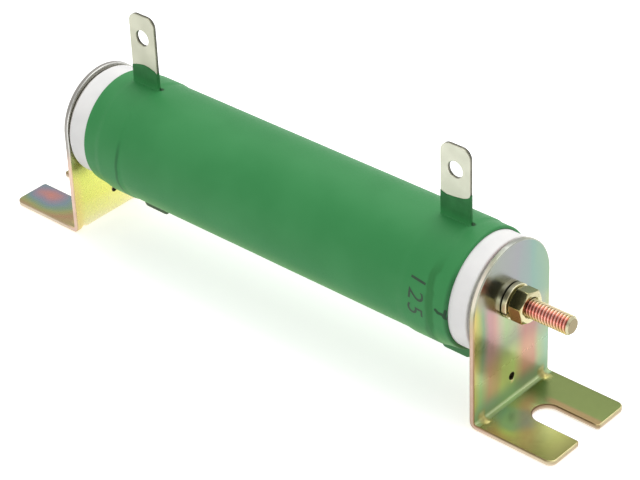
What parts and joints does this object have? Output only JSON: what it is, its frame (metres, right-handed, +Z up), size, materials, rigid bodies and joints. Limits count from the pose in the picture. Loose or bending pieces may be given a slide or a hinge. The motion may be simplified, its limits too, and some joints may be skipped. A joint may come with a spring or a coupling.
{
  "type": "tubular wire-wound power resistor",
  "caption": "Coated wire-wound resistor tube with band terminals, clamped between two slotted L-shaped feet by one long bolt.",
  "frame": {"origin": "midway between the two feet, on the surface that the feet stand on", "axes": "+X along the tube towards the nut's end, +Z up, away from the mounting surface"},
  "size_m": [0.1842, 0.0318, 0.0661],
  "materials": {
    "white_ceramic": "matt unglazed white",
    "resistance_alloy": "bright resistance alloy ribbon",
    "green_cement": "satin green cement",
    "tinned_strip": "dull tinned strip",
    "passivated_zinc": "yellow iridescent passivated zinc plate",
    "mica": "grey insulating sheet",
    "bright_zinc": "plain zinc plate",
    "coppery_zinc": "pink and yellow iridescent passivated zinc plate"
  },
  "bodies": {
    "root": {"ceramic_core": "white_ceramic", "resistance_winding": "resistance_alloy", "green_coating": "green_cement", "nut_end_front_strap": "tinned_strip", "nut_end_back_strap": "tinned_strip", "head_end_front_strap": "tinned_strip", "head_end_back_strap": "tinned_strip", "nut_end_bracket": "passivated_zinc", "head_end_bracket": "passivated_zinc", "nut_end_insulating_washer": "mica", "head_end_insulating_washer": "mica", "nut_end_centring_cup": "bright_zinc", "head_end_centring_cup": "bright_zinc", "through_bolt": "coppery_zinc", "hex_nut": "passivated_zinc", "spring_washer": "passivated_zinc"}
  },
  "joints": []
}
